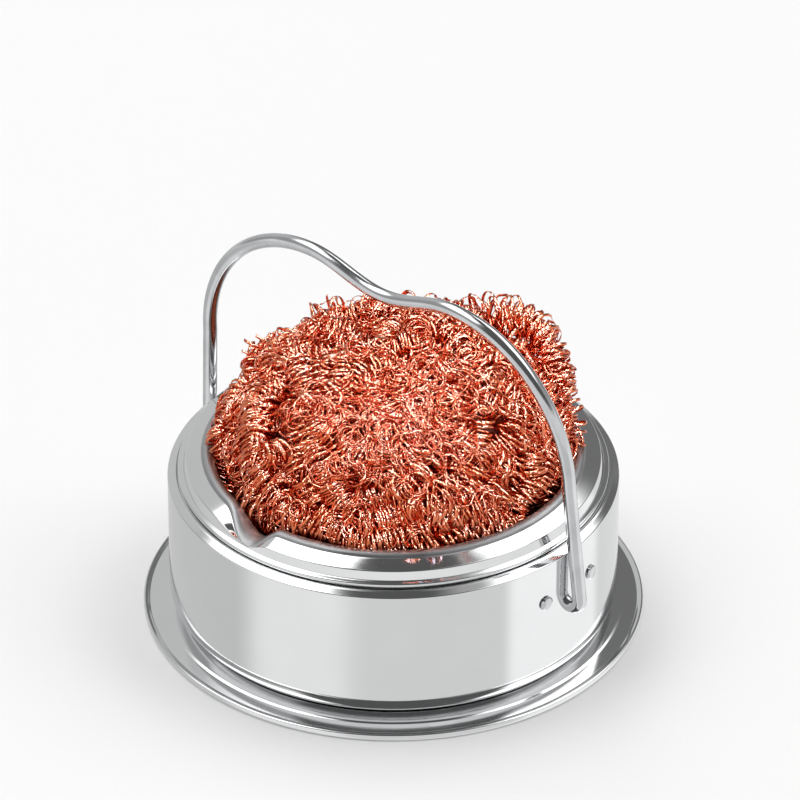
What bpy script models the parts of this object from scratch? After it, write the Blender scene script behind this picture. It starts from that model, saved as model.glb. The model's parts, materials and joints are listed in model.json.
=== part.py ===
"""Soldering iron stand: a steel bowl on a flanged foot, with a lift-off collar, a ball of copper
wire wool and a swinging wire bail that carries the iron. Metres, +Z up, origin at the centre of
the face it stands on, X along the bail's pivot."""

import math

import bmesh
import bpy
from mathutils import Matrix

MM = 0.001
GAP = 0.3                  # clearance between pieces that touch on the real stand

# Driving dimensions, in millimetres
SHEET = 0.6                # thickness of the pressed steel
FLANGE_R = 45.0            # outer radius of the foot
BODY_R = 40.5              # bowl, at the top of its wall
FOOT_R = 40.3              # bowl, just above its rounded bottom corner
BOWL_CORNER_R = 4.2        # rounding between the bowl's wall and its floor
BOWL_BOTTOM = 1.5          # underside of the bowl's floor
BOWL_TOP = 28.35           # crown of the bowl's turned-in rim
LIP_R = 38.0               # mouth of the bowl, inside its turned-down lip
COLLAR_R = 37.75           # foot of the collar's wall
CREST_R = 34.45            # crease where the collar's top meets its rolled rim
CREST_Z = 32.15
ROLL_R = 0.85              # radius of the rolled rim
WIRE_R = 1.3               # bail wire
PIVOT_Z = 16.05            # height of the bail's pivot
BAIL_HEIGHT = 54.25        # from the pivot to the bail's two humps
BAIL_LEAN = 3.3            # degrees, how far the bail stands off upright, towards -Y
WOOL_R = 32.3              # ball of wool where it comes out through the collar
WOOL_WAIST = 27.0          # height of its widest part
WOOL_TOP = 55.0
WOOL_POWER = 2.8           # 2 would be an ellipse, more is boxier
NOTCH_ANGLE = -95.2        # degrees round from +X, middle of the notch in the rim
NOTCH_HALF = 11.0          # degrees, half the notch's width
NOTCH_DROP = 2.25          # how far the rim is pressed down and outwards at the notch
NOTCH_PUSH = 2.55
RIVET_Z = 19.6
RIVET_ANGLE = 9.1          # degrees either side of the bail's foot
RIVET_SHANK_R = 0.8
RIVET_HEAD_R = 1.4
STRAP_R = 39.4             # outer radius of the pivot strap inside the wall
STRAP_THICKNESS = 0.8
STRAP_HEIGHT = 9.0
STRAP_HALF_ANGLE = 13.0    # degrees

STEPS = 48                 # facets round the turned pieces


def clear_scene():
    for obj in list(bpy.data.objects):
        bpy.data.objects.remove(obj)


def new_collection(name):
    made = bpy.data.collections.new(name)
    bpy.context.scene.collection.children.link(made)
    return made


def material(name, color, roughness, metallic=1.0):
    made = bpy.data.materials.new(name)
    made.use_nodes = True
    shader = made.node_tree.nodes["Principled BSDF"]
    shader.inputs["Base Color"].default_value = (*color, 1.0)
    shader.inputs["Roughness"].default_value = roughness
    shader.inputs["Metallic"].default_value = metallic
    return made


def arc(centre, radius, start, end, steps):
    """Points on a circle from start to end, in degrees."""
    angles = (math.radians(start + (end - start) * i / steps) for i in range(steps + 1))
    return [(centre[0] + radius * math.cos(a), centre[1] + radius * math.sin(a)) for a in angles]


def add_object(name, mesh, collection, finish):
    obj = bpy.data.objects.new(name, mesh)
    mesh.materials.append(finish)
    collection.objects.link(obj)
    return obj


def profile_mesh(name, points, closed=False):
    """An (r, z) outline in the XZ plane, as a chain of edges."""
    mesh = bpy.data.meshes.new(name)
    edges = [(i, i + 1) for i in range(len(points) - 1)]
    if closed:
        edges.append((len(points) - 1, 0))
    mesh.from_pydata([(r * MM, 0, z * MM) for r, z in points], edges, [])
    return mesh


def add_screw(obj, steps, angle=360.0):
    screw = obj.modifiers.new("turn", "SCREW")
    screw.axis = "Z"
    screw.angle = math.radians(angle)
    screw.steps = steps
    screw.render_steps = steps
    screw.use_merge_vertices = True
    screw.merge_threshold = 0.00001
    screw.use_smooth_shade = True


def add_thickness(obj, thickness=SHEET):
    wall = obj.modifiers.new("sheet", "SOLIDIFY")
    wall.thickness = thickness * MM
    wall.offset = -1
    wall.use_even_offset = True


def turned(name, points, collection, finish, steps=STEPS, closed=False):
    """A solid of revolution about +Z. The outline runs down its outer side."""
    obj = add_object(name, profile_mesh(name, points, closed), collection, finish)
    add_screw(obj, steps)
    return obj


def add_cut(obj, cutter):
    cut = obj.modifiers.new("cut " + cutter.name, "BOOLEAN")
    cut.operation = "DIFFERENCE"
    cut.object = cutter


def hole_cutter(name, radius, near, far, angle, height, collection):
    """A cylinder along a horizontal line out from the axis at the given angle in degrees."""
    mesh = bpy.data.meshes.new(name)
    shape = bmesh.new()
    bmesh.ops.create_cone(
        shape, cap_ends=True, segments=20, radius1=radius * MM, radius2=radius * MM,
        depth=(far - near) * MM)
    shape.to_mesh(mesh)
    shape.free()
    cutter = bpy.data.objects.new(name, mesh)
    turn = Matrix.Rotation(math.radians(angle), 4, "Z")
    reach = Matrix.Translation(((near + far) / 2 * MM, 0, height * MM))
    cutter.matrix_world = turn @ reach @ Matrix.Rotation(math.pi / 2, 4, "Y")
    cutter.hide_render = True
    cutter.display_type = "WIRE"
    collection.objects.link(cutter)
    return cutter


def base_plate(collection, finish):
    """Pressed disc: a shallow recess for the bowl, a sloping ring round it and a hemmed edge."""
    top = [(0, 1.2), (37.4, 1.2), (38.6, 1.95), (38.9, 2.0), (41.0, 1.6), (41.3, 1.4), (43.9, 1.3),
           (44.3, 1.45)]
    hem = arc((FLANGE_R - 0.75, 0.75), 0.75, 60, -90, 5)
    underside = [(43.3, 0.0), (43.1, 0.7), (41.2, 0.8), (38.7, 1.3), (37.6, 0.6), (0, 0.6)]
    return turned("base_plate", top + hem + underside, collection, finish)


def bowl(collection, finish, cutters):
    """Drawn cup with a turned-in rim, and holes for the bail's feet and the strap rivets."""
    lip = [(LIP_R, 26.4), (LIP_R, BOWL_TOP - 0.6)]
    crown = arc((LIP_R + 0.6, BOWL_TOP - 0.6), 0.6, 180, 90, 3)[1:]
    shoulder = [(39.15, BOWL_TOP), (39.45, 28.15), (40.0, 27.9)]
    edge = arc((BODY_R - 0.4, 27.45), 0.4, 70, 0, 2)
    corner_r = FOOT_R - BOWL_CORNER_R
    corner = arc((corner_r, BOWL_BOTTOM + BOWL_CORNER_R), BOWL_CORNER_R, 0, -90, 5)
    outline = lip + crown + shoulder + edge + corner + [(0, BOWL_BOTTOM)]
    obj = turned("bowl", outline, collection, finish)
    add_thickness(obj)
    for cutter in cutters:
        add_cut(obj, cutter)
    return obj


def notch_weight(angle):
    """1 at the middle of the notch, 0 beyond its sides, smooth between."""
    across = abs(angle - NOTCH_ANGLE) / NOTCH_HALF
    return 0.0 if across >= 1 else 0.5 + 0.5 * math.cos(math.pi * across)


def collar_outline():
    """(r, z, how much of the notch's push, and of its drop, the point takes) from the rolled
    rim down to the skirt that drops into the bowl."""
    centre = (CREST_R - ROLL_R, CREST_Z - 0.1)
    roll = [(r, z, 1.0, 1.0) for r, z in arc(centre, ROLL_R, 245, 7, 8)]
    top = [(35.6, 31.98, 0.65, 0.9), (36.7, 31.65, 0.35, 0.8), (37.15, 31.4, 0.25, 0.65)]
    wall = [(37.35, 31.05, 0.2, 0.5), (COLLAR_R, 29.7, 0.0, 0.0)]
    bead = [(38.2, 29.5, 0, 0), (38.6, 29.1, 0, 0), (38.25, 28.75, 0, 0), (37.5, 28.45, 0, 0)]
    skirt = [(37.4, 28.1, 0, 0), (37.3, 24.0, 0, 0)]
    return roll + top + wall + bead + skirt


def collar(collection, finish):
    """Lift-off ring. Its bead rests on the bowl's rim, and a notch is pressed into its crest."""
    regular = {round(360 * i / STEPS, 3) for i in range(STEPS)}
    near_notch = {round((NOTCH_ANGLE + NOTCH_HALF * i / 5) % 360, 3) for i in range(-5, 6)}
    clear = {a for a in regular if notch_weight((a + 180) % 360 - 180) == 0}
    angles = sorted(clear | near_notch)
    outline = collar_outline()
    rows = []
    for angle in angles:
        dent = notch_weight((angle + 180) % 360 - 180)
        turn = math.radians(angle)
        for r, z, push, drop in outline:
            out = (r + NOTCH_PUSH * push * dent) * MM
            height = (z - NOTCH_DROP * drop * dent) * MM
            rows.append((out * math.cos(turn), out * math.sin(turn), height))
    count = len(outline)
    faces = []
    for i in range(len(angles)):
        here, after = i * count, (i + 1) % len(angles) * count
        faces += [(here + k, here + k + 1, after + k + 1, after + k) for k in range(count - 1)]
    mesh = bpy.data.meshes.new("collar")
    mesh.from_pydata(rows, [], faces)
    mesh.shade_smooth()
    obj = add_object("collar", mesh, collection, finish)
    add_thickness(obj)
    return obj


def bail_half():
    """Centre line of one half of the bail, in its own plane from the pivot: foot end, bend, leg,
    shoulder, hump and dip. (across, up)."""
    bend_r, leg_foot, leg_top, leg_up = 2.2, 42.6, 41.1, 26.5
    hump_across, dip_depth = 16.3, 3.5
    foot = [(35.7, 0), (38.0, 0)]
    bend = arc((leg_foot - bend_r, bend_r), bend_r, -90, 0, 5)
    leg = [(leg_foot + (leg_top - leg_foot) * k / 4, bend_r + (leg_up - bend_r) * k / 4)
           for k in range(1, 5)]
    rise, reach = BAIL_HEIGHT - leg_up, leg_top - hump_across
    turns = (math.radians(90 * k / 9) for k in range(1, 10))
    shoulder = [(hump_across + reach * math.cos(a), leg_up + rise * math.sin(a)) for a in turns]
    across = (hump_across * (1 - k / 6) for k in range(1, 7))
    dip = [(x, BAIL_HEIGHT - dip_depth * (1 + math.cos(math.pi * x / hump_across)) / 2)
           for x in across]
    return foot + bend + leg + shoulder + dip


def bail(collection, finish):
    """One piece of spring wire. Its origin is on the pivot and it leans a little."""
    half = bail_half()
    line = half + [(-x, z) for x, z in reversed(half[:-1])]
    curve = bpy.data.curves.new("bail", "CURVE")
    curve.dimensions = "3D"
    curve.bevel_depth = WIRE_R * MM
    curve.bevel_resolution = 2
    curve.use_fill_caps = True
    spline = curve.splines.new("POLY")
    spline.points.add(len(line) - 1)
    for point, (x, z) in zip(spline.points, line):
        point.co = (x * MM, 0, z * MM, 1)
    spline.use_smooth = True
    curve.materials.append(finish)
    obj = bpy.data.objects.new("bail", curve)
    obj.location = (0, 0, PIVOT_Z * MM)
    obj.rotation_euler = (math.radians(BAIL_LEAN), 0, 0)
    collection.objects.link(obj)
    return obj


def pivot_strap(name, side_angle, collection, finish, cutters):
    """Curved plate inside the wall that carries one foot of the bail."""
    middle = (PIVOT_Z + RIVET_Z) / 2
    edge = [(STRAP_R, middle + STRAP_HEIGHT / 2), (STRAP_R, middle - STRAP_HEIGHT / 2)]
    obj = add_object(name, profile_mesh(name, edge), collection, finish)
    add_screw(obj, 6, 2 * STRAP_HALF_ANGLE)
    add_thickness(obj, STRAP_THICKNESS)
    obj.rotation_euler = (0, 0, math.radians(side_angle - STRAP_HALF_ANGLE))
    for cutter in cutters:
        add_cut(obj, cutter)
    return obj


def rivet(name, angle, collection, finish):
    """Clinched stud: a low head on the wall, a shank, and a head behind the strap."""
    outer_face, inner_face = BODY_R + 0.2, STRAP_R - STRAP_THICKNESS - GAP
    outline = [
        (0, outer_face + 0.4), (0.6, outer_face + 0.36), (1.1, outer_face + 0.22),
        (RIVET_HEAD_R, outer_face), (RIVET_SHANK_R, outer_face), (RIVET_SHANK_R, inner_face),
        (RIVET_HEAD_R, inner_face), (RIVET_HEAD_R, inner_face - 0.5), (0, inner_face - 0.5)]
    obj = turned(name, outline, collection, finish, steps=16)
    turn = Matrix.Rotation(math.radians(angle), 4, "Z")
    lift = Matrix.Translation((0, 0, RIVET_Z * MM))
    obj.matrix_world = turn @ lift @ Matrix.Rotation(math.pi / 2, 4, "Y")
    return obj


def copper_wool(collection, finish):
    """Outer shape of the ball of wire: it fills the bowl and domes up through the collar."""
    rise = WOOL_TOP - WOOL_WAIST
    bend = 2 / WOOL_POWER
    turns = (math.radians(90 - 90 * k / 12) for k in range(13))
    dome = [(WOOL_R * math.cos(a) ** bend, WOOL_WAIST + rise * math.sin(a) ** bend) for a in turns]
    below = [(WOOL_R, 22.5), (34.3, 20.0), (34.3, 7.0), (33.0, 4.0), (29.5, 2.6), (0, 2.6)]
    dome[0] = (0, WOOL_TOP)
    return turned("copper_wool", dome + below, collection, finish, steps=32)


def main():
    clear_scene()
    parts = new_collection("soldering_iron_stand")
    cutters = new_collection("cutters")
    steel = material("polished_steel", (0.80, 0.81, 0.82), 0.12)
    sheet = material("pressed_steel", (0.76, 0.77, 0.78), 0.18)
    wire = material("spring_wire", (0.72, 0.73, 0.75), 0.22)
    copper = material("copper_wire", (0.80, 0.36, 0.20), 0.3)

    wall_cuts = []
    for side, side_angle in (("right", 0), ("left", 180)):
        holes = [hole_cutter(f"{side}_foot_hole", WIRE_R + GAP, 36, 44, side_angle, PIVOT_Z, cutters)]
        for end, offset in (("front", -RIVET_ANGLE), ("back", RIVET_ANGLE)):
            angle = side_angle + (offset if side == "right" else -offset)
            rivet(f"{side}_{end}_rivet", angle, parts, wire)
            holes.append(hole_cutter(f"{side}_{end}_rivet_hole", RIVET_SHANK_R + GAP, 36, 44,
                                     angle, RIVET_Z, cutters))
        pivot_strap(f"{side}_pivot_strap", side_angle, parts, sheet, holes)
        wall_cuts += holes
    base_plate(parts, sheet)
    bowl(parts, steel, wall_cuts)
    collar(parts, steel)
    bail(parts, wire)
    copper_wool(parts, copper)


main()
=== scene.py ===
"""Looks of the soldering iron stand: fine steel pieces and a ball of curled copper ribbon, built round
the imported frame. Metres, in the frame's axes; outlines are written in millimetres and scaled."""

import json
import math

import bmesh
import bpy
import numpy as np
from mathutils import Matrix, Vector

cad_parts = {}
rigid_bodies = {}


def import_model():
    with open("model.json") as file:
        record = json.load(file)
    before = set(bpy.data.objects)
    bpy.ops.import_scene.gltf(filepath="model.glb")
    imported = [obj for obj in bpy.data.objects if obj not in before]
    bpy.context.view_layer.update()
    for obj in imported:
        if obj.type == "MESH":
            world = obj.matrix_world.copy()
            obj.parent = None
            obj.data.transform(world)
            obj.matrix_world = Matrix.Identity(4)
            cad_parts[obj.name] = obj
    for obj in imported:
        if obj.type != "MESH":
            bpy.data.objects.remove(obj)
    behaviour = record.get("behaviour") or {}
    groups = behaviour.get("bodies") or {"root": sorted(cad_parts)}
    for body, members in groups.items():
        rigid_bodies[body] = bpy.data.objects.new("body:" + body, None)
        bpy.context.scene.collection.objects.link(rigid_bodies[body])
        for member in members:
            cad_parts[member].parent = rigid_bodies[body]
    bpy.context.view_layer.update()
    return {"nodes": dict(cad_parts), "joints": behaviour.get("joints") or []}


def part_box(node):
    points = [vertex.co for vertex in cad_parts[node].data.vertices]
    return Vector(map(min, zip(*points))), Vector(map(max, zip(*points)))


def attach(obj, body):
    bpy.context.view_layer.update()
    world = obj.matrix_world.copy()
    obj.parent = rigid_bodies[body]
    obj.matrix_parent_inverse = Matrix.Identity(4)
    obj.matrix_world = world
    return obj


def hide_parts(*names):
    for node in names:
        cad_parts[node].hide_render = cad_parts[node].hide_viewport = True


MM = 0.001

# Camera: degrees and metres
VIEW_AZIMUTH = 38.8        # how far the camera stands round from -Y, towards +X
VIEW_ELEVATION = 33.4
VIEW_DISTANCE = 2.5
VIEW_WIDTH = 0.1429        # width of the picture at the object
VIEW_CENTRE_RIGHT = 0.00118
VIEW_CENTRE_Z = 0.04306
SENSOR = 36.0


# ---------------------------------------------------------------- small helpers

def box_mm(node):
    """Lowest and highest corner of a CAD node, in mm."""
    low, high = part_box(node)
    return low / MM, high / MM


def camera_axes():
    """Horizontal unit vectors towards the camera and towards the picture's right."""
    a = math.radians(VIEW_AZIMUTH)
    return Vector((math.sin(a), -math.cos(a), 0)), Vector((math.cos(a), math.sin(a), 0))


def add_piece(name, mesh, finish, body, slot, *nodes):
    """Adds a mesh that moves with a body and stands for the CAD nodes given after the slot, which it
    hides. slot is not used.
    """
    obj = bpy.data.objects.new(name, mesh)
    mesh.materials.append(finish)
    bpy.context.scene.collection.objects.link(obj)
    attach(obj, body)
    if nodes:
        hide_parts(*nodes)


def arc(centre, radius, start, end, steps):
    """Points on a circle from start to end, in degrees."""
    angles = (math.radians(start + (end - start) * i / steps) for i in range(steps + 1))
    return [(centre[0] + radius * math.cos(a), centre[1] + radius * math.sin(a)) for a in angles]


def rounded(corners, steps=5):
    """A closed outline from (r, z, fillet) corners. Each fillet is an arc, with a point a little
    way along the straight run beyond each end, so that the run keeps its own normal."""
    outline = []
    count = len(corners)
    for i, (r, z, fillet) in enumerate(corners):
        here = Vector((r, z))
        before = Vector(corners[i - 1][:2]) - here
        after = Vector(corners[(i + 1) % count][:2]) - here
        turn = math.pi - before.angle(after)
        if fillet <= 0 or turn < 0.02:
            outline.append((r, z))
            continue
        reach = min(fillet * math.tan(turn / 2), before.length * 0.45, after.length * 0.45)
        radius = reach / math.tan(turn / 2)
        start, end = before.normalized(), after.normalized()
        middle = (start + end).normalized() * math.hypot(radius, reach)
        first, last = start * reach - middle, end * reach - middle
        run = min(reach * 0.25, 0.12)
        outline.append(tuple(here + start * (reach + run)))
        for k in range(steps + 1):
            t = k / steps
            a = math.sin((1 - t) * turn) / math.sin(turn)
            b = math.sin(t * turn) / math.sin(turn)
            outline.append(tuple(here + middle + first * a + last * b))
        outline.append(tuple(here + end * (reach + run)))
    return outline


def close_up(mesh, reach):
    """Joins points that fall together, such as those on the axis, and turns every face outwards."""
    shape = bmesh.new()
    shape.from_mesh(mesh)
    bmesh.ops.remove_doubles(shape, verts=shape.verts, dist=reach)
    bmesh.ops.recalc_face_normals(shape, faces=shape.faces)
    shape.to_mesh(mesh)
    shape.free()
    mesh.shade_smooth()


def revolve(name, outline, steps=256, angles=None, shape=None):
    """Turns a closed (r, z) outline in mm into a solid of revolution. shape(angle, r, z) may move
    the points at each angle."""
    if angles is None:
        angles = np.arange(steps) * 2 * math.pi / steps
    r, z = np.array(outline).T
    rows = []
    for angle in angles:
        out, up = shape(angle, r, z) if shape else (r, z)
        rows.append(np.stack([out * math.cos(angle), out * math.sin(angle), up], axis=1))
    points = np.concatenate(rows) * MM
    count, total = len(outline), len(angles)
    here = np.arange(total)[:, None] * count + np.arange(count)[None, :]
    right = np.roll(here, -1, axis=0)
    corners = [here, np.roll(here, -1, axis=1), np.roll(right, -1, axis=1), right]
    faces = np.stack(corners, axis=-1)
    mesh = bpy.data.meshes.new(name)
    mesh.from_pydata(points.tolist(), [], faces.reshape(-1, 4).tolist())
    close_up(mesh, 1e-7)
    return mesh


# ---------------------------------------------------------------- materials

class Nodes:
    """A short way to write a node tree."""

    def __init__(self, tree):
        self.tree = tree

    def add(self, kind, inputs=None, **settings):
        node = self.tree.nodes.new(kind)
        for key, value in settings.items():
            setattr(node, key, value)
        for key, value in (inputs or {}).items():
            if isinstance(value, bpy.types.NodeSocket):
                self.tree.links.new(value, node.inputs[key])
            else:
                node.inputs[key].default_value = value
        return node

    def math(self, operation, a, b=0.0, c=0.0):
        node = self.add("ShaderNodeMath", {0: a, 1: b, 2: c}, operation=operation)
        return node.outputs[0]

    def vector(self, operation, a, b=(0, 0, 0)):
        node = self.add("ShaderNodeVectorMath", {0: a, 1: b}, operation=operation)
        return node.outputs["Value" if operation in ("DOT_PRODUCT", "LENGTH") else "Vector"]

    def range(self, value, low, high, to_low=0.0, to_high=1.0, smooth=False):
        kind = "SMOOTHSTEP" if smooth else "LINEAR"
        node = self.add("ShaderNodeMapRange", {0: value, 1: low, 2: high, 3: to_low, 4: to_high},
                        interpolation_type=kind)
        return node.outputs[0]

    def noise(self, vector, scale, detail=4.0, roughness=0.55):
        node = self.add("ShaderNodeTexNoise", {"Vector": vector, "Scale": scale, "Detail": detail,
                                               "Roughness": roughness})
        return node.outputs["Fac"]

    def mix(self, factor, a, b):
        node = self.add("ShaderNodeMix", {0: factor, 6: a, 7: b}, data_type="RGBA")
        return node.outputs[2]


def new_material(name):
    made = bpy.data.materials.new(name)
    made.use_nodes = True
    return made, Nodes(made.node_tree), made.node_tree.nodes["Principled BSDF"]


def polished_sheet(name, color, roughness, lines, waves):
    """Pressed and polished stainless steel: fine lines and faint rings round the axis, slow waves
    left by the press, a few smudges, and brighter rubbed edges."""
    made, nodes, shader = new_material(name)
    place = nodes.add("ShaderNodeTexCoord").outputs["Object"]
    split = nodes.add("ShaderNodeSeparateXYZ", {0: place})
    flat = nodes.vector("MULTIPLY", place, (1, 1, 0))
    radius = nodes.vector("LENGTH", flat)
    turn = nodes.math("ARCTAN2", split.outputs[1], split.outputs[0])
    lathe = nodes.add("ShaderNodeCombineXYZ", {0: radius, 1: split.outputs[2],
                                               2: nodes.math("MULTIPLY", turn, 0.0012)})
    fine_lines = nodes.noise(lathe.outputs[0], 9000, 3)
    rings = nodes.noise(lathe.outputs[0], 900, 2)
    smudges = nodes.noise(place, 55, 5, 0.6)
    slow = nodes.noise(place, 24, 1.5, 0.4)
    edge = nodes.range(nodes.add("ShaderNodeNewGeometry").outputs["Pointiness"], 0.52, 0.62)
    worn = nodes.mix(edge, (*color, 1), (*(min(1, c * 1.12) for c in color), 1))
    tone = nodes.mix(nodes.range(smudges, 0.35, 0.75), worn, (*(c * 0.95 for c in color), 1))
    rough = nodes.math("ADD", nodes.range(smudges, 0.35, 0.8, roughness, roughness * 1.9),
                       nodes.range(fine_lines, 0.4, 0.8, 0.0, roughness * 0.5))
    wavy = nodes.add("ShaderNodeBump", {"Height": slow, "Strength": waves, "Distance": 0.001})
    turned = nodes.add("ShaderNodeBump", {"Height": rings, "Strength": waves * 2,
                                          "Distance": 0.0001, "Normal": wavy.outputs[0]})
    bump = nodes.add("ShaderNodeBump", {"Height": fine_lines, "Strength": lines,
                                        "Distance": 0.00002, "Normal": turned.outputs[0]})
    nodes.tree.links.new(tone, shader.inputs["Base Color"])
    nodes.tree.links.new(rough, shader.inputs["Roughness"])
    nodes.tree.links.new(bump.outputs[0], shader.inputs["Normal"])
    shader.inputs["Metallic"].default_value = 1.0
    return made


def drawn_wire(name):
    """Bright drawn steel wire with fine lines along it and a slightly uneven polish."""
    made, nodes, shader = new_material(name)
    place = nodes.add("ShaderNodeTexCoord").outputs["Object"]
    marks = nodes.noise(nodes.vector("MULTIPLY", place, (1, 1, 0.15)), 2600, 4)
    patches = nodes.noise(place, 180, 4)
    bright, dull = (0.68, 0.69, 0.70, 1), (0.56, 0.57, 0.58, 1)
    tone = nodes.mix(nodes.range(patches, 0.3, 0.75), bright, dull)
    rough = nodes.range(patches, 0.3, 0.8, 0.08, 0.18)
    bump = nodes.add("ShaderNodeBump", {"Height": marks, "Strength": 0.25, "Distance": 0.00003})
    nodes.tree.links.new(tone, shader.inputs["Base Color"])
    nodes.tree.links.new(rough, shader.inputs["Roughness"])
    nodes.tree.links.new(bump.outputs[0], shader.inputs["Normal"])
    shader.inputs["Metallic"].default_value = 1.0
    return made


def copper_ribbon(name):
    """Bright copper-coloured ribbon, here and there darker and redder, with a fine grain."""
    made, nodes, shader = new_material(name)
    place = nodes.add("ShaderNodeTexCoord").outputs["Object"]
    patches = nodes.noise(place, 260, 3)
    grain = nodes.noise(place, 5200, 3)
    bright, dark = (0.80, 0.25, 0.13, 1), (0.70, 0.16, 0.065, 1)
    tone = nodes.mix(nodes.range(patches, 0.35, 0.65), bright, dark)
    rough = nodes.range(grain, 0.3, 0.75, 0.05, 0.10)
    bump = nodes.add("ShaderNodeBump", {"Height": grain, "Strength": 0.3, "Distance": 0.00003})
    nodes.tree.links.new(tone, shader.inputs["Base Color"])
    nodes.tree.links.new(rough, shader.inputs["Roughness"])
    nodes.tree.links.new(bump.outputs[0], shader.inputs["Normal"])
    shader.inputs["Metallic"].default_value = 1.0
    return made


def painted_shade_copper(name):
    """The wool's inside, with painted shade: a dull dark red, as copper lit only by copper is."""
    made, nodes, shader = new_material(name)
    place = nodes.add("ShaderNodeTexCoord").outputs["Object"]
    patches = nodes.noise(place, 420, 5, 0.7)
    light, dark = (0.42, 0.06, 0.025, 1), (0.16, 0.02, 0.01, 1)
    tone = nodes.mix(nodes.range(patches, 0.35, 0.65), light, dark)
    rough = nodes.range(patches, 0.3, 0.7, 0.55, 0.8)
    bump = nodes.add("ShaderNodeBump", {"Height": patches, "Strength": 1.0, "Distance": 0.0012})
    nodes.tree.links.new(tone, shader.inputs["Base Color"])
    nodes.tree.links.new(rough, shader.inputs["Roughness"])
    nodes.tree.links.new(bump.outputs[0], shader.inputs["Normal"])
    shader.inputs["Metallic"].default_value = 0.6
    return made


# ---------------------------------------------------------------- steel pieces

def build_base_plate(finish):
    """The foot: a flat middle, a raised ring round the bowl, a sloping flange and a hemmed edge."""
    edge, sheet, middle = box_mm("base_plate")[1].x, 0.55, 1.2
    corners = [
        (0, middle, 0), (37.3, middle, 0.5), (38.5, 2.0, 0.5), (41.15, 1.58, 0.35),
        (41.6, 1.42, 0.3), (43.9, 1.12, 0.4), (44.3, 1.25, 0.2), (edge - 0.02, 1.35, 0.66),
        (edge, 0.0, 0.72), (43.35, 0.0, 0.25), (43.35, 0.78, 0.3), (41.3, 0.8, 0.3),
        (38.6, 1.4, 0.5), (37.5, middle - sheet, 0.5), (0, middle - sheet, 0)]
    mesh = revolve("foot_plate", rounded(corners))
    add_piece("foot_plate", mesh, finish, "base", "pressed_steel", "base_plate")


def build_bowl(finish):
    """The cup: a rounded bottom corner, a straight wall and a rim turned in and down."""
    low, high = box_mm("bowl")
    wall, rim, floor, sheet = high.x, high.z, low.z, 0.6
    mouth = 38.0
    corners = [
        (0, floor, 0), (wall - 0.2, floor, 4.2), (wall, rim - 0.75, 0.3),
        (wall - 1.1, rim - 0.15, 0.35), (wall - 1.45, rim, 0.3), (mouth, rim, 0.55),
        (mouth, rim - 2.0, 0.1),
        (mouth + sheet * 0.9, rim - 2.0, 0.1), (mouth + sheet * 0.9, rim - sheet, 0.1),
        (wall - 1.5, rim - sheet, 0.2), (wall - sheet, rim - 1.1, 0.2),
        (wall - sheet - 0.2, floor + sheet, 3.6), (0, floor + sheet, 0)]
    mesh = revolve("bowl_shell", rounded(corners, 7), 288)
    add_piece("bowl_shell", mesh, finish, "base", "polished_steel", "bowl")


ROLL_STRETCH = 1.35                # the collar's roll is this much wider than it is tall
NOTCH_MIDDLE = math.radians(-95.2)
NOTCH_LONG = math.radians(17)      # the ramp on the -X side
NOTCH_SHORT = math.radians(8)      # the ramp on the +X side
NOTCH_PUSH = 3.1                   # how far the crest goes outwards at the notch
NOTCH_DROP = 2.8


def notch_weight(angle):
    """1 at the bottom of the notch, 0 beyond its ramps."""
    off = (angle - NOTCH_MIDDLE + math.pi) % (2 * math.pi) - math.pi
    across = off / NOTCH_SHORT if off > 0 else -off / NOTCH_LONG
    return 0.0 if across >= 1 else (0.5 + 0.5 * math.cos(math.pi * across)) ** 1.15


def press_notch(angle, r, z):
    """The collar's crest pressed down and outwards at the notch. The roll's inner edge goes down
    too but hardly outwards, so that the roll opens there into a short spout."""
    dent = notch_weight(angle)
    if dent == 0:
        return r, z
    height = np.clip((z - 29.6) / 2.2, 0, 1)
    across = [32.3, 34.4, 37.9]    # inner edge of the roll, crest, outer shoulder
    push = np.interp(r, across, [0.25, 1.0, 0.0])
    drop = np.interp(r, across, [0.9, 1.0, 0.5])
    return r + NOTCH_PUSH * dent * push * height, z - NOTCH_DROP * dent * drop * height


def collar_angles():
    """Angles round the collar, in steps of 1.5 degrees, and of a quarter of a degree at the notch."""
    whole = 2 * math.pi
    fine = [(NOTCH_MIDDLE + math.radians(a / 4)) % whole for a in range(-72, 37)]
    margin = math.radians(0.4)
    coarse = [a for a in (i * whole / 240 for i in range(240))
              if not fine[0] - margin <= a <= fine[-1] + margin]
    return sorted(fine + coarse)


def build_collar(finish, hem_finish):
    """The lift-off ring: a rolled inner rim, a sloping top, a bead that rests on the bowl's rim and
    a skirt inside it. The faces of the roll take the second finish."""
    foot, sheet, crest_r, crest_z, roll = box_mm("collar")[0].z, 0.55, 34.4, 32.15, 0.85
    roll_centre = (crest_r - roll + 0.02, crest_z - 0.12)
    outer_roll = [(crest_r - (crest_r - r) * ROLL_STRETCH, z, 0)
                  for r, z in arc(roll_centre, roll, 250, 12, 22)]
    top_and_skirt = [
        (crest_r + 0.08, crest_z + 0.02, 0), (34.75, 32.07, 0), (37.2, 31.25, 0.3),
        (37.75, 29.6, 0.15), (38.7, 29.35, 0.3), (38.6, 28.55, 0.3), (37.4, 28.55, 0.1),
        (37.35, foot, 0.1), (37.35 - sheet, foot, 0.1), (36.8, 28.6, 0.2), (37.15, 29.4, 0.2),
        (36.75, 31.0, 0.4), (crest_r + 0.1, 31.55, 0.2)]
    inner_roll = [(crest_r - (crest_r - r) * ROLL_STRETCH, z, 0)
                  for r, z in arc(roll_centre, roll - 0.35, 0, 250, 12)]
    outline = rounded(outer_roll + top_and_skirt + inner_roll)
    mesh = revolve("collar_ring", outline, angles=collar_angles(), shape=press_notch)
    add_piece("collar_ring", mesh, finish, "collar", "polished_steel", "collar")
    mesh.materials.append(hem_finish)
    place = np.arange(len(mesh.polygons)) % len(outline)
    in_roll = (place < len(outer_roll)) | (place >= len(outline) - len(inner_roll))
    mesh.polygons.foreach_set("material_index", in_roll.astype(np.int32))


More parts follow.
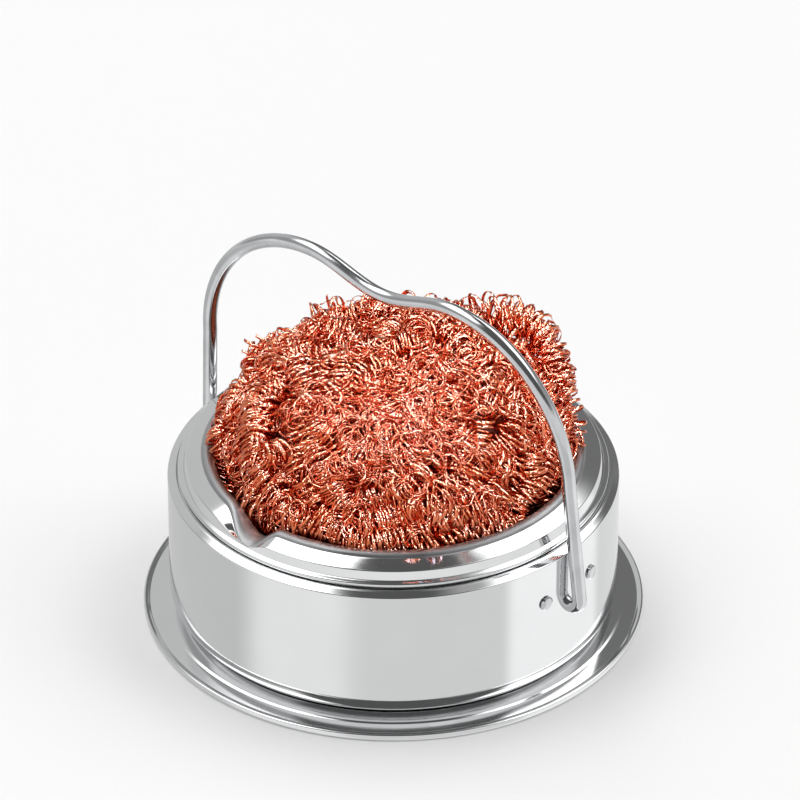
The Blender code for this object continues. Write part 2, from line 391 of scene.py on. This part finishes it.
BAIL_WIRE_R = 1.3
BAIL_LEAN = 3.3                    # degrees off upright, towards -Y


def bail_line():
    """The wire's centre line as (x, height above the pivot), from one foot to the other: a bend, a
    leg that leans in, a quarter of an ellipse up to the hump, and a cosine down to the saddle."""
    foot_end, bend, leg_foot, leg_top, leg_up, hump, height, dip = (
        35.7, 2.2, 42.6, 41.1, 26.5, 16.3, 54.25, 3.5)
    half = [(foot_end, 0), (38.0, 0)] + arc((leg_foot - bend, bend), bend, -90, 0, 12)
    half += [(leg_foot + (leg_top - leg_foot) * k / 8, bend + (leg_up - bend) * k / 8)
             for k in range(1, 9)]
    half += [(hump + (leg_top - hump) * math.cos(math.radians(90 * k / 28)),
              leg_up + (height - leg_up) * math.sin(math.radians(90 * k / 28)))
             for k in range(1, 29)]
    half += [(hump * (1 - k / 18), height - dip * (1 + math.cos(math.pi * (1 - k / 18))) / 2)
             for k in range(1, 19)]
    return half + [(-x, z) for x, z in reversed(half[:-1])]


def build_bail(finish):
    pivot = next(j for j in frame["joints"] if j["name"] == "bail_swing")["pos_m"][2]
    line = bail_line()
    curve = bpy.data.curves.new("bail_wire", "CURVE")
    curve.dimensions = "3D"
    curve.bevel_depth = BAIL_WIRE_R * MM
    curve.bevel_resolution = 8
    curve.use_fill_caps = True
    spline = curve.splines.new("POLY")
    spline.points.add(len(line) - 1)
    for point, (x, z) in zip(spline.points, line):
        point.co = (x * MM, 0, z * MM, 1)
    spline.use_smooth = True
    curve.materials.append(finish)
    obj = bpy.data.objects.new("bail_wire", curve)
    obj.location = (0, 0, pivot)
    obj.rotation_euler = (math.radians(BAIL_LEAN), 0, 0)
    bpy.context.scene.collection.objects.link(obj)
    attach(obj, "bail")
    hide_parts("bail")


# ---------------------------------------------------------------- copper wool

WOOL_R = 32.2              # widest part of the ball, mm
WOOL_MIDDLE = 27.0         # height of its widest part
WOOL_TOP = 55.0
WOOL_DEEP = 60.0           # half height of the part inside the bowl, were it closed
WOOL_POWER = 2.5           # 2 would be an ellipsoid, more is boxier
WOOL_LOWEST = 24.0         # curls turn back up below this height, inside the bowl
RIBBON_WIDTH = 0.52
RIBBON_THICKNESS = 0.07
RIM_HANKS = 24             # hanks in each layer that start at the collar
HANK_LAYERS = ((98, 4.4), (98, 3.0), (98, 1.8), (98, 0.9))  # other hanks, and depth, deepest first
HANK_LENGTH = 21.0
SWIRL_CURLS = 150          # short curls just below the swirl
OTHER_CURLS = 170
CURL_DEPTH = 0.4           # the others lie this deep, and those at the swirl stand out as far
CORE_DEPTH = 5.8
CORE_BOTTOM = 2.6          # the core stands this high, just clear of the bowl's floor


def unit(v):
    return v / np.maximum(np.linalg.norm(v, axis=-1, keepdims=True), 1e-9)


def ripple(points, wavelength, seed, waves=7):
    """Smooth random value, mostly from -1 to 1, at each point: a sum of waves in random directions."""
    rng = np.random.default_rng(seed)
    total = 0
    for _ in range(waves):
        direction = unit(rng.normal(size=3)) * 2 * math.pi / (wavelength * rng.uniform(0.7, 1.5))
        total = total + np.sin(points @ direction + rng.uniform(0, 2 * math.pi))
    return total / math.sqrt(waves) / 1.2


def onto_wool(points, depth=0.0):
    """Points moved straight out from the ball's middle on to its lumpy form, or to some depth under
    it, and the outward normals there."""
    centre = np.array([0, 0, WOOL_MIDDLE])
    q = points - centre
    half = np.where(q[..., 2] > 0, WOOL_TOP - WOOL_MIDDLE, WOOL_DEEP)
    level = np.hypot(q[..., 0], q[..., 1])
    size = (level / WOOL_R) ** WOOL_POWER + (np.abs(q[..., 2]) / half) ** WOOL_POWER
    q = q / np.maximum(size, 1e-6)[..., None] ** (1 / WOOL_POWER)
    level = np.maximum(np.hypot(q[..., 0], q[..., 1]), 1e-6)
    out = (level / WOOL_R) ** (WOOL_POWER - 1) / WOOL_R
    up = np.sign(q[..., 2]) * (np.abs(q[..., 2]) / half) ** (WOOL_POWER - 1) / half
    normal = unit(np.stack([q[..., 0] / level * out, q[..., 1] / level * out, up], axis=-1))
    lumps = 1.3 * ripple(q, 12, 5) - 0.9
    return q + centre + normal * (lumps - depth)[..., None], normal


def ribbon_mesh(name, centres, radial, twist):
    """Closed flat ribbons along rows of points. radial is the direction of each ribbon's thickness."""
    ropes, samples = centres.shape[:2]
    along = unit(np.gradient(centres, axis=1))
    wide = unit(np.cross(along, radial))
    thick = np.cross(wide, along)
    c, s = np.cos(twist)[..., None], np.sin(twist)[..., None]
    wide, thick = wide * c + thick * s, thick * c - wide * s
    wide, thick = wide * RIBBON_WIDTH / 2, thick * RIBBON_THICKNESS / 2
    corners = [centres + wide + thick, centres - wide + thick, centres - wide - thick,
               centres + wide - thick]
    points = np.stack(corners, axis=2).reshape(-1, 3) * MM
    rope = np.arange(ropes)[:, None, None] * samples * 4
    step = np.arange(samples - 1)[None, :, None] * 4
    side = np.arange(4)[None, None, :]
    after = (side + 1) % 4
    base = rope + step
    quads = np.stack([base + side, base + after, base + after + 4, base + side + 4], axis=-1)
    first = np.arange(ropes)[:, None] * samples * 4
    caps = np.concatenate([first + [3, 2, 1, 0], first + (samples - 1) * 4 + [0, 1, 2, 3]])
    faces = np.concatenate([quads.reshape(-1, 4), caps])
    mesh = bpy.data.meshes.new(name)
    mesh.vertices.add(len(points))
    mesh.vertices.foreach_set("co", points.astype(np.float32).ravel())
    mesh.loops.add(faces.size)
    mesh.loops.foreach_set("vertex_index", faces.astype(np.int32).ravel())
    mesh.polygons.add(len(faces))
    mesh.polygons.foreach_set("loop_start", np.arange(len(faces), dtype=np.int32) * 4)
    mesh.update(calc_edges=True)
    mesh.validate()
    return mesh


def coil(path, normal, turns, samples, radius, flat, rng):
    """Ribbon centre lines curled round each path, and the direction of their thickness. radius and
    turns are one per path; flat squashes the curls along the normal."""
    count, knots = path.shape[:2]
    at = np.linspace(0, knots - 1, samples)
    low = np.minimum(at.astype(int), knots - 2)
    part = (at - low)[None, :, None]
    axis = path[:, low] * (1 - part) + path[:, low + 1] * part
    up = unit(normal[:, low] * (1 - part) + normal[:, low + 1] * part)
    along = unit(np.gradient(axis, axis=1))
    up = unit(up - along * (up * along).sum(-1, keepdims=True))
    side = np.cross(along, up)
    t = np.linspace(0, 1, samples)[None, :]
    phase = rng.uniform(0, 2 * math.pi, (count, 1))
    uneven = sum(rng.uniform(0.1, 0.5, (count, 1)) / k *
                 np.sin(2 * math.pi * (k * 1.3 * t + rng.uniform(0, 1, (count, 1))))
                 for k in (1, 2, 3))
    angle = phase + 2 * math.pi * turns[:, None] * t + 1.5 * uneven
    swell = 1 + 0.16 * np.sin(2 * math.pi * (rng.uniform(2, 5, (count, 1)) * t + phase))
    swell = swell + 0.07 * np.sin(angle * rng.uniform(0.28, 0.42, (count, 1)) + 2 * phase)
    reach = (radius[:, None] * swell)[..., None]
    radial = up * (np.cos(angle) * flat)[..., None] + side * np.sin(angle)[..., None]
    lean = (0.18 * np.sin(angle * 0.5 + phase) + 0.2 * np.sin(angle * 0.13 + 3 * phase))[..., None]
    centres = axis + radial * reach + along * lean * reach * np.cos(angle)[..., None]
    twist = 0.5 * np.sin(2 * math.pi * (1.7 * t + phase)) + 0.12 * np.sin(angle * 0.31 + phase)
    return centres, unit(radial), twist


def swirl_centre():
    """Where the curls close up into a rosette: on the ball's upper front, towards the camera."""
    towards, _ = camera_axes()
    point = np.array(towards) * 12 + np.array([0, 0, 50.0])
    return onto_wool(point[None])[0][0]


def hank_paths(starts, length, steps, depth, seed):
    """Paths that follow the grain of the wool from each start: round the swirl, with slow bends,
    and back up where they would go deep into the bowl."""
    centre = swirl_centre()
    axis = unit(centre - np.array([0, 0, WOOL_MIDDLE]))
    path, normals = [], []
    point, normal = onto_wool(starts, depth)
    for _ in range(steps + 1):
        path.append(point)
        normals.append(normal)
        grain = unit(np.cross(axis, point - centre))
        bend = np.stack([ripple(point, 26, seed + k) for k in range(3)], axis=-1)
        step = grain + 1.1 * bend
        step[:, 2] = np.where(point[:, 2] < WOOL_LOWEST, np.abs(step[:, 2]) + 0.3, step[:, 2])
        step = unit(step - normal * (step * normal).sum(-1, keepdims=True))
        point, normal = onto_wool(point + step * length / steps, depth)
    return np.stack(path, axis=1), np.stack(normals, axis=1)


def scattered(count, lowest, rng):
    """Random points on the ball above a height, a little thinner on its upper half."""
    found = []
    while len(found) < count:
        v = unit(rng.normal(size=3))
        point = onto_wool(np.array([0, 0, WOOL_MIDDLE]) + v * 30)[0]
        stretch = 1.0 if point[2] < WOOL_MIDDLE else 0.9
        if point[2] > lowest and rng.uniform() < stretch:
            found.append(point)
    return np.array(found)


def rim_starts(count, turn):
    """Points evenly spaced round the ball where it comes out of the collar."""
    angle = (np.arange(count) + turn) * 2 * math.pi / count
    return np.stack([WOOL_R * np.cos(angle), WOOL_R * np.sin(angle), np.full(count, 30.0)], axis=-1)


def build_hanks(finish):
    """Several layers of long curls laid side by side."""
    for layer, (loose, depth) in enumerate(HANK_LAYERS):
        rng = np.random.default_rng(100 + layer)
        starts = np.concatenate([scattered(loose, 26, rng),
                                 rim_starts(RIM_HANKS, layer / len(HANK_LAYERS))])
        count = len(starts)
        path, normal = hank_paths(starts, HANK_LENGTH, 14, depth, 40 + 5 * layer)
        turns = rng.uniform(13, 18, count)
        radius = rng.uniform(1.8, 2.7, count)
        centres, radial, twist = coil(path, normal, turns, 200, radius, 0.8, rng)
        mesh = ribbon_mesh(f"wool_hanks_{layer + 1}", centres, radial, twist)
        add_piece(f"wool_hanks_{layer + 1}", mesh, finish, "base", "copper_wire")


def build_curls(finish):
    """Short open curls that stand end-on to the surface, thick and proud just below the swirl."""
    rng = np.random.default_rng(300)
    towards, _ = camera_axes()
    near = swirl_centre() + np.array(towards) * 6 + rng.normal(size=(SWIRL_CURLS, 3)) * 8
    far = scattered(OTHER_CURLS, 33, rng)
    root, normal = onto_wool(np.concatenate([near, far]))
    depth = np.where(np.arange(len(root)) < len(near), -CURL_DEPTH, CURL_DEPTH)
    root = root - normal * depth[:, None]
    lean = unit(normal + rng.normal(size=root.shape) * 0.3)
    height = rng.uniform(1.5, 3.0, len(root))
    path = root[:, None] + lean[:, None] * (height[:, None] * np.linspace(-0.5, 0.5, 5))[..., None]
    side = unit(np.cross(lean, rng.normal(size=root.shape)))
    normals = np.repeat(side[:, None], 5, axis=1)
    turns = rng.uniform(3, 6, len(root))
    radius = rng.uniform(1.5, 2.4, len(root))
    centres, radial, twist = coil(path, normals, turns, 75, radius, 0.95, rng)
    mesh = ribbon_mesh("wool_curls", centres, radial, twist)
    add_piece("wool_curls", mesh, finish, "base", "copper_wire")


def build_wool_core(finish):
    """The dense inside of the ball, seen only between the curls."""
    outline = arc((0, 0), 1, 90, 0, 48) + [(1.0, -0.2), (0.98, -0.55), (0.0, -0.6)]
    around, reach = 128, 30
    rows = []
    for out, up in outline:
        for j in range(around):
            a = 2 * math.pi * j / around
            rows.append((out * math.cos(a), out * math.sin(a), up))
    points, _ = onto_wool(np.array(rows) * reach + np.array([0, 0, WOOL_MIDDLE]) + 1e-6, CORE_DEPTH)
    points[:, 2] = np.maximum(points[:, 2], CORE_BOTTOM)
    faces = []
    for i in range(len(outline) - 1):
        here, below = i * around, (i + 1) * around
        for j in range(around):
            after = (j + 1) % around
            faces.append((here + j, below + j, below + after, here + after))
    mesh = bpy.data.meshes.new("wool_core")
    mesh.from_pydata((points * MM).tolist(), [], faces)
    close_up(mesh, 1e-6)
    add_piece("wool_core", mesh, finish, "base", "copper_wire", "copper_wool")


def build_tuft(finish):
    """Loose curls that stand out of the ball's back right shoulder. The spine is measured from the
    axis: towards the picture's right, towards the camera, and up."""
    rng = np.random.default_rng(500)
    towards, right = (np.array(v) for v in camera_axes())
    up = np.array([0, 0, 1.0])
    spine = [(17, -18, 48.8), (22.5, -18.5, 48.2), (26.6, -17, 46.4), (28.8, -13, 44), (29.3, -9, 41),
             (29.7, -5, 37), (29.6, -1, 33)]
    knots = np.array([right * r + towards * c + up * z for r, c, z in spine])
    ropes = 10
    wander = rng.normal(size=(ropes, len(spine), 3)) * 0.5
    path = knots[None] + wander + rng.normal(size=(ropes, 1, 3)) * 1.2
    out = unit(path - np.array([0, 0, WOOL_MIDDLE]))
    turns = rng.uniform(14, 18, ropes)
    radius = rng.uniform(1.9, 2.8, ropes)
    centres, radial, twist = coil(path, out, turns, 280, radius, 0.95, rng)
    mesh = ribbon_mesh("wool_tuft", centres, radial, twist)
    add_piece("wool_tuft", mesh, finish, "base", "copper_wire")


def build_strays(finish):
    """Single open loops that stand out of the outline."""
    rng = np.random.default_rng(700)
    count = 46
    root, normal = onto_wool(scattered(count, 36, rng), -0.4)
    side = unit(np.cross(normal, rng.normal(size=root.shape)))
    reach = rng.uniform(2.0, 4.0, count)
    path = root[:, None] + side[:, None] * (reach[:, None] * np.linspace(-0.5, 0.5, 5))[..., None]
    normals = np.repeat(normal[:, None], 5, axis=1)
    turns = rng.uniform(1.0, 2.2, count)
    radius = rng.uniform(2.0, 3.2, count)
    centres, radial, twist = coil(path, normals, turns, 60, radius, 0.9, rng)
    mesh = ribbon_mesh("wool_strays", centres, radial, twist)
    add_piece("wool_strays", mesh, finish, "base", "copper_wire")


def build_wool(finish, core_finish):
    build_wool_core(core_finish)
    build_hanks(finish)
    build_curls(finish)
    build_tuft(finish)
    build_strays(finish)


# ---------------------------------------------------------------- studio

def build_camera():
    towards, right = camera_axes()
    e = math.radians(VIEW_ELEVATION)
    target = right * VIEW_CENTRE_RIGHT + Vector((0, 0, VIEW_CENTRE_Z))
    out = towards * math.cos(e) + Vector((0, 0, math.sin(e)))
    data = bpy.data.cameras.new("camera")
    data.sensor_width = SENSOR
    data.lens = SENSOR * VIEW_DISTANCE / VIEW_WIDTH
    data.clip_end = 100
    camera = bpy.data.objects.new("camera", data)
    camera.location = target + out * VIEW_DISTANCE
    camera.rotation_mode = "QUATERNION"
    camera.rotation_quaternion = (-out).to_track_quat("-Z", "Y")
    bpy.context.scene.collection.objects.link(camera)
    bpy.context.scene.camera = camera


def build_floor():
    """A plain pale floor. The steel mirrors the panels instead of it."""
    made, nodes, shader = new_material("floor")
    place = nodes.add("ShaderNodeTexCoord").outputs["Object"]
    tone = nodes.mix(nodes.noise(place, 3), (0.86, 0.86, 0.86, 1), (0.88, 0.88, 0.88, 1))
    nodes.tree.links.new(tone, shader.inputs["Base Color"])
    shader.inputs["Roughness"].default_value = 0.9
    shader.inputs["Specular IOR Level"].default_value = 0.0
    mesh = bpy.data.meshes.new("floor")
    shape = bmesh.new()
    bmesh.ops.create_grid(shape, x_segments=4, y_segments=4, size=6)
    shape.to_mesh(mesh)
    shape.free()
    mesh.materials.append(made)
    floor = bpy.data.objects.new("floor", mesh)
    floor.visible_glossy = False
    bpy.context.scene.collection.objects.link(floor)


# Panels of the studio as the polished steel sees it: azimuth from the camera, positive to the
# picture's right, half width, lowest and highest elevation, softness of the edges (all in
# degrees), and brightness.
PANELS = [
    (180, 180, -3, 90, 4, 0.42),        # grey room
    (-113, 58, 45, 76, 5, 2.6),         # big soft box, left
    (115, 50, 36, 66, 5, 2.6),          # big soft box, right
    (5, 55, 14, 90, 5, 0.12),           # dark above the camera
    (-155, 26, -3, 44, 6, 0.60),        # grey wall, behind on the left
    (166, 17, -3, 46, 5, 0.18),         # dark wall behind
    (136, 14, -3, 36, 6, 0.15),         # dark wall, behind on the right
    (174, 24, 59, 90, 4, 0.10),         # dark boom behind
    (180, 180, 78, 90, 4, 0.10),        # dark ceiling
    (0, 100, -12, 14, 4, 0.92),         # table's far edge, in front
    (0, 180, -90, -3, 4, 0.80),         # pale table all round
    (0, 95, -12, -3, 4, 0.92),          # its edge in front
    (19, 43, -90, -12, 5, 0.76),        # greyer table in front
    (-50, 26, -90, -12, 12, 0.95),      # brighter table, front left
    (-128, 46, -90, -10, 10, 0.62),     # greyer table, left
    (95, 33, -90, -10, 5, 1.08),        # bright table, right
]


BETWEEN_PANELS = 0.10
CAMERA_SEES = 0.95         # brightness of the plain background behind the floor


def build_world():
    """The panels, each laid over the ones before it."""
    world = bpy.data.worlds.new("studio")
    bpy.context.scene.world = world
    world.use_nodes = True
    world.node_tree.nodes.clear()
    nodes = Nodes(world.node_tree)
    towards, right = camera_axes()
    ray = nodes.add("ShaderNodeTexCoord").outputs["Generated"]
    up = nodes.vector("DOT_PRODUCT", ray, (0, 0, 1))
    elevation = nodes.math("ARCSINE", up)
    level = nodes.vector("NORMALIZE", nodes.vector("MULTIPLY", ray, (1, 1, 0)))
    light = BETWEEN_PANELS
    for azimuth, half, lowest, highest, soft, brightness in PANELS:
        a = math.radians(azimuth)
        middle = towards * math.cos(a) + right * math.sin(a)
        cosine = nodes.vector("DOT_PRODUCT", level, tuple(middle))
        off = nodes.math("ARCCOSINE", nodes.math("MULTIPLY", cosine, 0.99999))
        s, h, b = math.radians(soft), math.radians(half), math.radians(lowest)
        inside = nodes.range(off, h - s, h + s, 1, 0, True) if half < 180 else 1.0
        above = nodes.range(elevation, b - s, b + s, 0, 1, True)
        mask = nodes.math("MULTIPLY", inside, above)
        if highest < 90:
            t = math.radians(highest)
            below = nodes.range(elevation, t - s, t + s, 1, 0, True)
            mask = nodes.math("MULTIPLY", mask, below)
        step = nodes.math("MULTIPLY", mask, nodes.math("SUBTRACT", brightness, light))
        light = nodes.math("ADD", light, step)
    seen = nodes.add("ShaderNodeLightPath").outputs["Is Camera Ray"]
    light = nodes.math("ADD", nodes.math("MULTIPLY", light, nodes.math("SUBTRACT", 1.0, seen)),
                       nodes.math("MULTIPLY", seen, CAMERA_SEES))
    background = nodes.add("ShaderNodeBackground", {"Color": light})
    out = nodes.add("ShaderNodeOutputWorld")
    nodes.tree.links.new(background.outputs[0], out.inputs[0])


def area_light(name, azimuth, elevation, distance, size, power):
    """A soft round lamp aimed at the object. It isn't mirrored: the steel mirrors the panels."""
    towards, right = camera_axes()
    a, e = math.radians(azimuth), math.radians(elevation)
    level = towards * math.cos(a) + right * math.sin(a)
    out = level * math.cos(e) + Vector((0, 0, math.sin(e)))
    data = bpy.data.lights.new(name, "AREA")
    data.shape = "DISK"
    data.size = size
    data.energy = power
    light = bpy.data.objects.new(name, data)
    light.location = out * distance
    light.rotation_mode = "QUATERNION"
    light.rotation_quaternion = (-out).to_track_quat("-Z", "Y")
    light.visible_glossy = False
    light.visible_camera = False
    bpy.context.scene.collection.objects.link(light)
    return light


def build_lights():
    area_light("overhead", azimuth=0, elevation=88, distance=1.6, size=1.6, power=6.0)
    area_light("key", azimuth=-165, elevation=48, distance=1.8, size=1.0, power=2.0)


GLINT_COLOUR = (0.60, 1.30, 2.2)    # blue enough that copper mirrors it nearly white


def build_glints():
    """Small bright lamps that only the copper wool mirrors, as its many facets do in a studio."""
    wool = bpy.data.collections.new("wool_glint_receivers")
    for obj in bpy.context.scene.objects:
        if obj.name.startswith("wool_"):
            wool.objects.link(obj)
    places = [(-150, 62), (-95, 38), (-60, 66), (-38, 26), (-12, 58), (18, 18), (28, 44), (60, 70),
              (66, 28), (100, 55), (140, 68), (172, 42)]
    for k, (azimuth, elevation) in enumerate(places):
        light = area_light(f"glint_{k + 1}", azimuth, elevation, distance=1.2, size=0.24, power=3.6)
        light.visible_glossy = True
        light.data.color = GLINT_COLOUR
        light.light_linking.receiver_collection = wool


# ---------------------------------------------------------------- everything

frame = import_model()

steel = polished_sheet("polished_steel", (0.80, 0.805, 0.81), roughness=0.06, lines=0.10,
                       waves=0.02)
pressed = polished_sheet("pressed_steel", (0.78, 0.785, 0.79), roughness=0.07, lines=0.12,
                         waves=0.03)
# Darker, duller steel for the faces of the collar's roll.
dull_roll = polished_sheet("dull_roll_steel", (0.40, 0.405, 0.41), roughness=0.30, lines=0.10,
                         waves=0.02)
wire = drawn_wire("spring_wire")
copper = copper_ribbon("copper_wire")

build_camera()
build_floor()
build_world()
build_lights()
build_base_plate(pressed)
build_bowl(steel)
build_collar(steel, dull_roll)
build_bail(wire)
# The wool's core takes painted shade: dull dark red for copper lit only by copper deep in the ball.
build_wool(copper, painted_shade_copper("painted_shade_copper"))
build_glints()
for node, finish in (("right_pivot_strap", pressed), ("left_pivot_strap", pressed),
                     ("right_front_rivet", wire), ("right_back_rivet", wire),
                     ("left_front_rivet", wire), ("left_back_rivet", wire)):
    frame["nodes"][node].data.materials.clear()
    frame["nodes"][node].data.materials.append(finish)

bpy.context.scene.view_settings.view_transform = "Standard"
bpy.context.scene.cycles.glossy_bounces = 8
